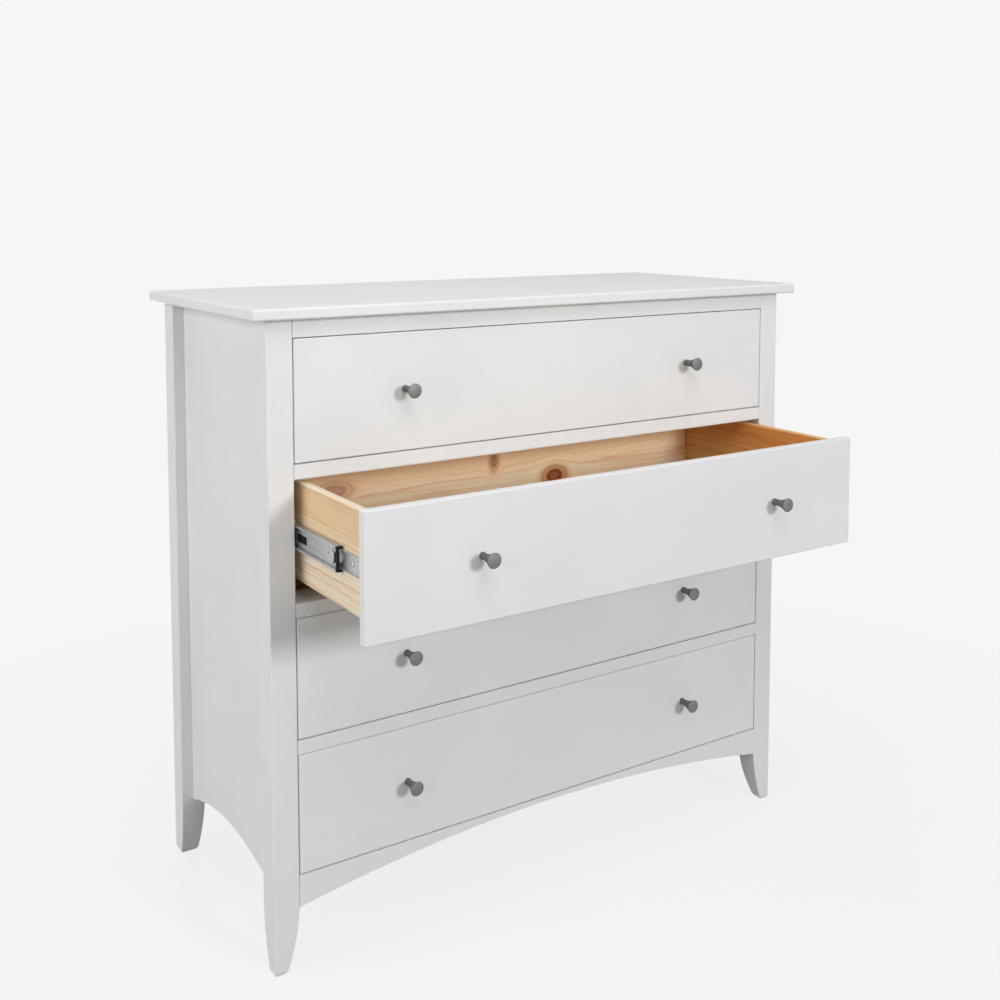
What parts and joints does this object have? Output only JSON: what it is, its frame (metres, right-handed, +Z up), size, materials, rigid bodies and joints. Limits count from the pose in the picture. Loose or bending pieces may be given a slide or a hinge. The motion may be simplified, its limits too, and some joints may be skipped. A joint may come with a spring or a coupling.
{
  "type": "chest of drawers",
  "caption": "White painted chest of drawers on tapered legs, with flush fronts, flared metal knobs, pine boxes and telescopic runners.",
  "frame": {"origin": "on the floor under the middle of the bounding box, open drawer included", "axes": "+X to the right along the front, +Y from the front to the back, +Z up"},
  "size_m": [1.052, 0.6868, 0.979],
  "materials": {
    "white_satin_paint": "satin white paint",
    "lacquered_pine": "clear lacquered pine",
    "pine_plywood": "thin sanded plywood",
    "painted_hardboard": "matt painted hardboard",
    "zinc_plated_steel": "bright zinc plating",
    "satin_nickel": "satin nickel plating"
  },
  "bodies": {
    "carcass": {"top_board": "white_satin_paint", "side_panel_left": "white_satin_paint", "side_panel_right": "white_satin_paint", "leg_front_left": "white_satin_paint", "leg_front_right": "white_satin_paint", "leg_back_left": "white_satin_paint", "leg_back_right": "white_satin_paint", "top_rail": "white_satin_paint", "divider_rail_1": "white_satin_paint", "divider_rail_2": "white_satin_paint", "divider_rail_3": "white_satin_paint", "apron": "white_satin_paint", "back_panel": "painted_hardboard", "back_rail_upper": "lacquered_pine", "back_rail_lower": "lacquered_pine", "runner_cabinet_left_1": "zinc_plated_steel", "runner_cabinet_right_1": "zinc_plated_steel", "runner_cabinet_left_2": "zinc_plated_steel", "runner_cabinet_right_2": "zinc_plated_steel", "runner_cabinet_left_3": "zinc_plated_steel", "runner_cabinet_right_3": "zinc_plated_steel", "runner_cabinet_left_4": "zinc_plated_steel", "runner_cabinet_right_4": "zinc_plated_steel"},
    "drawer_1": {"drawer_front_1": "white_satin_paint", "drawer_box_1": "lacquered_pine", "drawer_bottom_1": "pine_plywood", "knob_left_1": "satin_nickel", "knob_right_1": "satin_nickel", "runner_drawer_left_1": "zinc_plated_steel", "runner_drawer_right_1": "zinc_plated_steel"},
    "runner_middle_1": {"runner_middle_left_1": "zinc_plated_steel", "runner_middle_right_1": "zinc_plated_steel"},
    "drawer_2": {"drawer_front_2": "white_satin_paint", "drawer_box_2": "lacquered_pine", "drawer_bottom_2": "pine_plywood", "knob_left_2": "satin_nickel", "knob_right_2": "satin_nickel", "runner_drawer_left_2": "zinc_plated_steel", "runner_drawer_right_2": "zinc_plated_steel"},
    "runner_middle_2": {"runner_middle_left_2": "zinc_plated_steel", "runner_middle_right_2": "zinc_plated_steel"},
    "drawer_3": {"drawer_front_3": "white_satin_paint", "drawer_box_3": "lacquered_pine", "drawer_bottom_3": "pine_plywood", "knob_left_3": "satin_nickel", "knob_right_3": "satin_nickel", "runner_drawer_left_3": "zinc_plated_steel", "runner_drawer_right_3": "zinc_plated_steel"},
    "runner_middle_3": {"runner_middle_left_3": "zinc_plated_steel", "runner_middle_right_3": "zinc_plated_steel"},
    "drawer_4": {"drawer_front_4": "white_satin_paint", "drawer_box_4": "lacquered_pine", "drawer_bottom_4": "pine_plywood", "knob_left_4": "satin_nickel", "knob_right_4": "satin_nickel", "runner_drawer_left_4": "zinc_plated_steel", "runner_drawer_right_4": "zinc_plated_steel"},
    "runner_middle_4": {"runner_middle_left_4": "zinc_plated_steel", "runner_middle_right_4": "zinc_plated_steel"}
  },
  "joints": [
    {"name": "drawer_1_slide", "type": "slide", "parent": "carcass", "child": "drawer_1", "axis": [0, -1, 0], "range_m": [0, 0.32]},
    {"name": "runner_middle_1_slide", "type": "slide", "parent": "carcass", "child": "runner_middle_1", "axis": [0, -1, 0], "range_m": [0, 0.224]},
    {"name": "drawer_2_slide", "type": "slide", "parent": "carcass", "child": "drawer_2", "axis": [0, -1, 0], "range_m": [-0.215, 0.105]},
    {"name": "runner_middle_2_slide", "type": "slide", "parent": "carcass", "child": "runner_middle_2", "axis": [0, -1, 0], "range_m": [-0.1505, 0.0735]},
    {"name": "drawer_3_slide", "type": "slide", "parent": "carcass", "child": "drawer_3", "axis": [0, -1, 0], "range_m": [0, 0.32]},
    {"name": "runner_middle_3_slide", "type": "slide", "parent": "carcass", "child": "runner_middle_3", "axis": [0, -1, 0], "range_m": [0, 0.224]},
    {"name": "drawer_4_slide", "type": "slide", "parent": "carcass", "child": "drawer_4", "axis": [0, -1, 0], "range_m": [0, 0.32]},
    {"name": "runner_middle_4_slide", "type": "slide", "parent": "carcass", "child": "runner_middle_4", "axis": [0, -1, 0], "range_m": [0, 0.224]}
  ],
  "couplings": [
    {"joint": "runner_middle_1_slide", "follows": "drawer_1_slide", "ratio": 0.7},
    {"joint": "runner_middle_2_slide", "follows": "drawer_2_slide", "ratio": 0.7},
    {"joint": "runner_middle_3_slide", "follows": "drawer_3_slide", "ratio": 0.7},
    {"joint": "runner_middle_4_slide", "follows": "drawer_4_slide", "ratio": 0.7}
  ]
}
